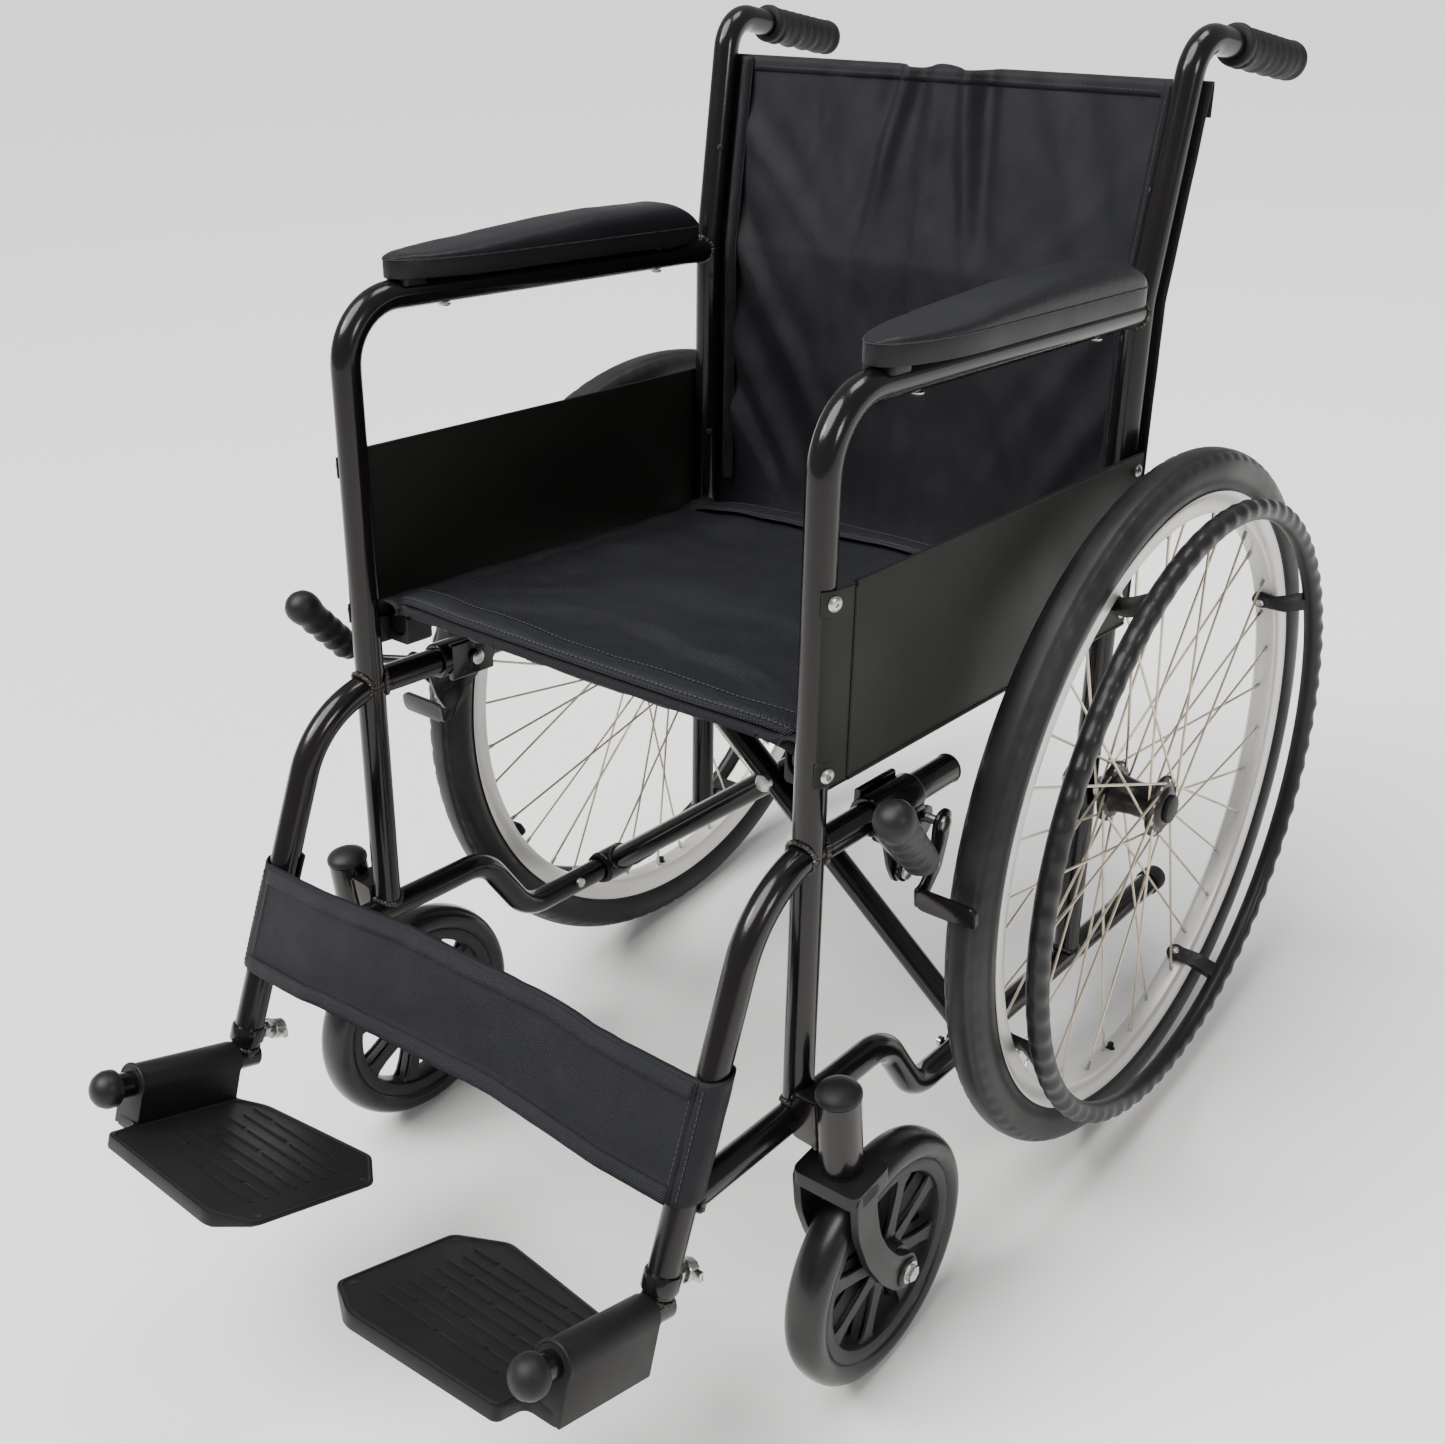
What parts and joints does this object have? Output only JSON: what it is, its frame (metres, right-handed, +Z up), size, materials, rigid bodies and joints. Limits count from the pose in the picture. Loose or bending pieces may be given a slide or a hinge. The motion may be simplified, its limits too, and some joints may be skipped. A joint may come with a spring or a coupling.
{
  "type": "manual wheelchair",
  "caption": "Folding manual wheelchair: black tubular frame, fabric seat and back slings, spoked rear wheels with handrims, front casters, flip-up footplates.",
  "frame": {"origin": "bottom centre of the bounding box, on the ground under the middle of the chair", "axes": "+Z up, the chair faces -Y, +X to the seated user's left; the l_ nodes and left_ bodies are at -X"},
  "size_m": [0.655, 1.0168, 0.9085],
  "materials": {
    "frame_enamel": "gloss near-black powder coat",
    "grip_rubber": "matte",
    "guard_plastic": "matte, fine grain",
    "black_plastic": "satin moulded",
    "footplate_plastic": "satin, ribbed",
    "wheel_plastic": "satin moulded",
    "pad_vinyl": "satin vinyl with fine grain",
    "sling_fabric": "coated woven nylon, satin",
    "tyre_rubber": "satin",
    "rim_metal": "satin",
    "spoke_metal": "bright",
    "handrim_coating": "satin coated, finger waves",
    "zinc_hardware": "bright zinc"
  },
  "bodies": {
    "left_frame": {"l_post_arm": "frame_enamel", "l_back_post": "frame_enamel", "l_push_grip": "grip_rubber", "l_hanger_tube": "frame_enamel", "l_brake_stub": "frame_enamel", "l_lower_rail": "frame_enamel", "l_tip_cap": "grip_rubber", "l_caster_housing": "frame_enamel", "l_skirt_guard": "guard_plastic", "l_arm_pad_base": "black_plastic", "l_arm_pad": "pad_vinyl", "l_thumb_screw": "zinc_hardware", "l_brake_bracket": "frame_enamel", "l_rear_axle": "zinc_hardware", "back_sling": "sling_fabric", "calf_strap": "sling_fabric"},
    "right_frame": {"r_post_arm": "frame_enamel", "r_back_post": "frame_enamel", "r_push_grip": "grip_rubber", "r_hanger_tube": "frame_enamel", "r_brake_stub": "frame_enamel", "r_lower_rail": "frame_enamel", "r_tip_cap": "grip_rubber", "r_caster_housing": "frame_enamel", "r_skirt_guard": "guard_plastic", "r_arm_pad_base": "black_plastic", "r_arm_pad": "pad_vinyl", "r_thumb_screw": "zinc_hardware", "r_brake_bracket": "frame_enamel", "r_rear_axle": "zinc_hardware"},
    "brace_a": {"brace_a": "frame_enamel", "pivot_bolt": "zinc_hardware"},
    "brace_b": {"brace_b": "frame_enamel", "seat_sling": "sling_fabric"},
    "left_brake_lever": {"l_brake_lever": "frame_enamel", "l_brake_grip": "black_plastic"},
    "left_brake_shoe": {"l_brake_shoe": "frame_enamel"},
    "left_footrest": {"l_footrest_extension": "frame_enamel"},
    "left_footplate": {"l_footplate": "footplate_plastic"},
    "left_caster_fork": {"l_caster_fork": "black_plastic", "l_caster_axle": "zinc_hardware"},
    "left_caster_wheel": {"l_caster_wheel": "wheel_plastic", "l_caster_tyre": "tyre_rubber"},
    "left_rear_wheel": {"l_rear_tyre": "tyre_rubber", "l_rear_rim": "rim_metal", "l_hub_spokes": "spoke_metal", "l_handrim": "handrim_coating"},
    "right_brake_lever": {"r_brake_lever": "frame_enamel", "r_brake_grip": "black_plastic"},
    "right_brake_shoe": {"r_brake_shoe": "frame_enamel"},
    "right_footrest": {"r_footrest_extension": "frame_enamel"},
    "right_footplate": {"r_footplate": "footplate_plastic"},
    "right_caster_fork": {"r_caster_fork": "black_plastic", "r_caster_axle": "zinc_hardware"},
    "right_caster_wheel": {"r_caster_wheel": "wheel_plastic", "r_caster_tyre": "tyre_rubber"},
    "right_rear_wheel": {"r_rear_tyre": "tyre_rubber", "r_rear_rim": "rim_metal", "r_hub_spokes": "spoke_metal", "r_handrim": "handrim_coating"}
  },
  "joints": [
    {"name": "fold", "type": "hinge", "parent": "left_frame", "child": "brace_a", "pos_m": [-0.218, 0.04014, 0.14873], "axis": [0, -0.9925, 0.1219], "range_deg": [0, 42.5]},
    {"name": "scissor_pivot", "type": "hinge", "parent": "brace_a", "child": "brace_b", "pos_m": [0, 0.04907, 0.31992], "axis": [0, -0.9925, 0.1219], "range_deg": [-85, 0], "deforming": ["seat_sling"]},
    {"name": "right_frame_hinge", "type": "hinge", "parent": "brace_b", "child": "right_frame", "pos_m": [0.218, 0.01632, 0.15166], "axis": [0, -0.9925, 0.1219], "range_deg": [0, 42.5], "deforming": ["back_sling", "calf_strap"]},
    {"name": "left_brake", "type": "hinge", "parent": "left_frame", "child": "left_brake_lever", "pos_m": [-0.237, -0.11223, 0.40118], "axis": [-1, 0, 0], "range_deg": [0, 45]},
    {"name": "left_brake_shoe_pivot", "type": "hinge", "parent": "left_frame", "child": "left_brake_shoe", "pos_m": [-0.246, -0.07658, 0.42401], "axis": [1, 0, 0], "range_deg": [0, 10]},
    {"name": "left_footrest_length", "type": "slide", "parent": "left_frame", "child": "left_footrest", "axis": [0, -0.4587, -0.8886], "range_m": [0, 0.09]},
    {"name": "left_footplate_flip", "type": "hinge", "parent": "left_footrest", "child": "left_footplate", "pos_m": [-0.2183, -0.42822, 0.22252], "axis": [0, -0.9205, 0.3907], "range_deg": [0, 95]},
    {"name": "left_caster_swivel", "type": "hinge", "parent": "left_frame", "child": "left_caster_fork", "pos_m": [-0.2576, -0.22359, 0.225], "axis": [0, 0, 1], "continuous": true},
    {"name": "left_caster_spin", "type": "hinge", "parent": "left_caster_fork", "child": "left_caster_wheel", "pos_m": [-0.2576, -0.18459, 0.1], "axis": [1, 0, 0], "continuous": true},
    {"name": "left_wheel_spin", "type": "hinge", "parent": "left_frame", "child": "left_rear_wheel", "pos_m": [-0.275, 0.20341, 0.305], "axis": [1, 0, 0], "continuous": true},
    {"name": "right_brake", "type": "hinge", "parent": "right_frame", "child": "right_brake_lever", "pos_m": [0.237, -0.11223, 0.40118], "axis": [-1, 0, 0], "range_deg": [0, 45]},
    {"name": "right_brake_shoe_pivot", "type": "hinge", "parent": "right_frame", "child": "right_brake_shoe", "pos_m": [0.246, -0.07658, 0.42401], "axis": [1, 0, 0], "range_deg": [0, 10]},
    {"name": "right_footrest_length", "type": "slide", "parent": "right_frame", "child": "right_footrest", "axis": [0, -0.4587, -0.8886], "range_m": [0, 0.09]},
    {"name": "right_footplate_flip", "type": "hinge", "parent": "right_footrest", "child": "right_footplate", "pos_m": [0.2183, -0.42822, 0.22252], "axis": [0, 0.9205, -0.3907], "range_deg": [0, 95]},
    {"name": "right_caster_swivel", "type": "hinge", "parent": "right_frame", "child": "right_caster_fork", "pos_m": [0.2576, -0.22359, 0.225], "axis": [0, 0, 1], "continuous": true},
    {"name": "right_caster_spin", "type": "hinge", "parent": "right_caster_fork", "child": "right_caster_wheel", "pos_m": [0.2576, -0.18459, 0.1], "axis": [1, 0, 0], "continuous": true},
    {"name": "right_wheel_spin", "type": "hinge", "parent": "right_frame", "child": "right_rear_wheel", "pos_m": [0.275, 0.20341, 0.305], "axis": [1, 0, 0], "continuous": true}
  ],
  "couplings": [
    {"joint": "scissor_pivot", "follows": "fold", "ratio": -2},
    {"joint": "right_frame_hinge", "follows": "fold", "ratio": 1},
    {"joint": "left_brake_shoe_pivot", "follows": "left_brake", "ratio": 0.22222},
    {"joint": "left_footplate_flip", "follows": "fold", "ratio": 2.2353},
    {"joint": "right_brake_shoe_pivot", "follows": "right_brake", "ratio": 0.22222},
    {"joint": "right_footplate_flip", "follows": "fold", "ratio": 2.2353}
  ]
}
